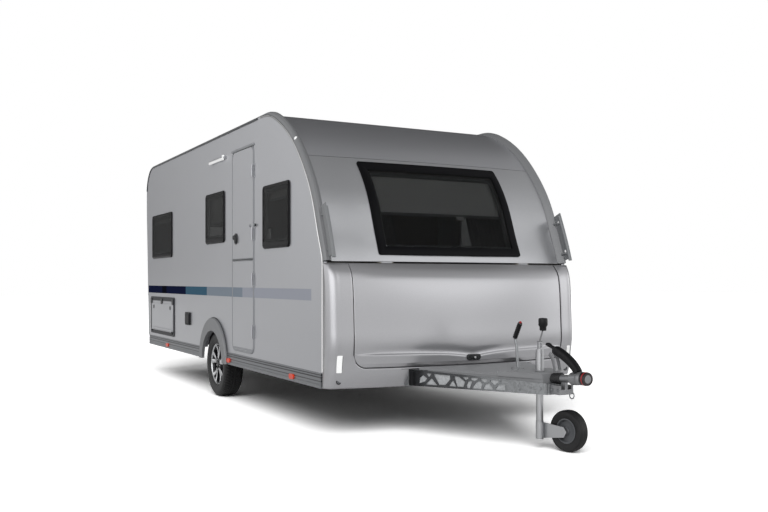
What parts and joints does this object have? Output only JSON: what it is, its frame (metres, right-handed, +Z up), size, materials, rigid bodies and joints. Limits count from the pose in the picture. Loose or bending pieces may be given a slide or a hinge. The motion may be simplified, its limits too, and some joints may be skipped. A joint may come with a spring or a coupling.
{
  "type": "travel caravan",
  "caption": "Single-axle travel caravan with a bowed front, stable door, front locker, drawbar, ball coupling and jockey wheel.",
  "frame": {"origin": "on the ground below the middle of the overall length and width", "axes": "+Z up, the drawbar points to -Y, the entrance door is on the -X side"},
  "size_m": [2.33, 7.0634, 2.648],
  "materials": {
    "body_silver": "satin",
    "front_silver": "satin",
    "moulding_grey": "satin",
    "black_plastic": "matte",
    "glazing": "gloss",
    "tyre_rubber": "matte",
    "alloy": "satin",
    "galvanised_steel": "satin",
    "lamp_white": "gloss",
    "lamp_red": "gloss",
    "lamp_orange": "gloss",
    "floor_ply": "matte",
    "cabin_lining": "matte",
    "furniture_board": "satin",
    "seat_fabric": "matte",
    "bottle_paint": "satin",
    "dome_acrylic": "gloss"
  },
  "bodies": {
    "caravan": {"side_wall_left": "body_silver", "side_wall_right": "body_silver", "rear_wall": "body_silver", "roof_panel": "body_silver", "front_panel": "front_silver", "locker_surround": "front_silver", "door_hinges": "body_silver", "hatch_frames": "black_plastic", "front_window": "glazing", "windows_left": "glazing", "windows_right": "glazing", "rear_window": "glazing", "floor_panel": "floor_ply", "front_bulkhead": "cabin_lining", "arch_moulding_left": "moulding_grey", "arch_moulding_right": "moulding_grey", "side_skirt_left": "body_silver", "side_skirt_right": "body_silver", "corner_moulding_left": "moulding_grey", "corner_moulding_right": "moulding_grey", "rear_bumper": "body_silver", "rear_lamps": "lamp_red", "white_lamps": "lamp_white", "side_markers": "lamp_orange", "grab_handles": "moulding_grey", "wall_fittings": "black_plastic", "rooflights": "dome_acrylic", "chassis_rails": "galvanised_steel", "drawbar_frame": "galvanised_steel", "drawbar_cover": "moulding_grey", "axle_tube": "galvanised_steel", "coupling_head": "galvanised_steel", "coupling_gaiter": "black_plastic", "coupling_handle": "black_plastic", "handbrake_lever": "galvanised_steel", "jockey_column": "galvanised_steel", "steady_brackets": "galvanised_steel", "lounge_seats": "seat_fabric", "kitchen_unit": "furniture_board", "rear_bed": "furniture_board", "washroom": "cabin_lining", "gas_bottles": "bottle_paint"},
    "locker_lid_body": {"locker_lid": "front_silver"},
    "door_lower_body": {"door_lower": "body_silver"},
    "door_upper_body": {"door_upper": "body_silver"},
    "service_hatch_body": {"service_hatch": "body_silver"},
    "cassette_hatch_body": {"cassette_hatch": "body_silver"},
    "wheel_left_body": {"tyre_left": "tyre_rubber", "rim_left": "alloy"},
    "wheel_right_body": {"tyre_right": "tyre_rubber", "rim_right": "alloy"},
    "jockey_stem_body": {"jockey_stem": "galvanised_steel"},
    "jockey_arm_body": {"jockey_arm": "galvanised_steel"},
    "jockey_wheel_body": {"jockey_tyre": "tyre_rubber", "jockey_hub": "black_plastic"},
    "steady_front_left_body": {"steady_front_left": "galvanised_steel"},
    "steady_front_right_body": {"steady_front_right": "galvanised_steel"},
    "steady_rear_left_body": {"steady_rear_left": "galvanised_steel"},
    "steady_rear_right_body": {"steady_rear_right": "galvanised_steel"}
  },
  "joints": [
    {"name": "wheel_left_spin", "type": "hinge", "parent": "caravan", "child": "wheel_left_body", "pos_m": [-1.024, 0.6835, 0.32], "axis": [1, 0, 0], "continuous": true},
    {"name": "wheel_right_spin", "type": "hinge", "parent": "caravan", "child": "wheel_right_body", "pos_m": [1.024, 0.6835, 0.32], "axis": [1, 0, 0], "continuous": true},
    {"name": "jockey_slide", "type": "slide", "parent": "caravan", "child": "jockey_stem_body", "axis": [0, 0, 1], "range_m": [-0.05, 0.1]},
    {"name": "jockey_swivel", "type": "hinge", "parent": "jockey_stem_body", "child": "jockey_arm_body", "pos_m": [0, -3.0455, 0.12], "axis": [0, 0, 1], "continuous": true},
    {"name": "jockey_wheel_spin", "type": "hinge", "parent": "jockey_arm_body", "child": "jockey_wheel_body", "pos_m": [0.10721, -3.21942, 0.141], "axis": [0.9888, 0.1495, 0], "continuous": true},
    {"name": "locker_lid_lift", "type": "hinge", "parent": "caravan", "child": "locker_lid_body", "pos_m": [0, -2.0165, 1.29], "axis": [-1, 0, 0], "range_deg": [0, 75]},
    {"name": "door_lower_swing", "type": "hinge", "parent": "caravan", "child": "door_lower_body", "pos_m": [-1.15, -0.4665, 0.93], "axis": [0, 0, 1], "range_deg": [0, 160]},
    {"name": "door_upper_swing", "type": "hinge", "parent": "caravan", "child": "door_upper_body", "pos_m": [-1.15, -0.4665, 1.845], "axis": [0, 0, 1], "range_deg": [0, 160]},
    {"name": "service_hatch_drop", "type": "hinge", "parent": "caravan", "child": "service_hatch_body", "pos_m": [-1.151, 2.7265, 0.556], "axis": [0, -1, 0], "range_deg": [0, 150]},
    {"name": "cassette_hatch_drop", "type": "hinge", "parent": "caravan", "child": "cassette_hatch_body", "pos_m": [1.151, 1.4435, 0.597], "axis": [0, 1, 0], "range_deg": [0, 150]},
    {"name": "steady_front_left_drop", "type": "hinge", "parent": "caravan", "child": "steady_front_left_body", "pos_m": [-0.7, -1.5465, 0.395], "axis": [-1, 0, 0], "range_deg": [0, 68]},
    {"name": "steady_front_right_drop", "type": "hinge", "parent": "caravan", "child": "steady_front_right_body", "pos_m": [0.7, -1.5465, 0.395], "axis": [-1, 0, 0], "range_deg": [0, 68]},
    {"name": "steady_rear_left_drop", "type": "hinge", "parent": "caravan", "child": "steady_rear_left_body", "pos_m": [-0.7, 3.0135, 0.395], "axis": [1, 0, 0], "range_deg": [0, 68]},
    {"name": "steady_rear_right_drop", "type": "hinge", "parent": "caravan", "child": "steady_rear_right_body", "pos_m": [0.7, 3.0135, 0.395], "axis": [1, 0, 0], "range_deg": [0, 68]}
  ]
}
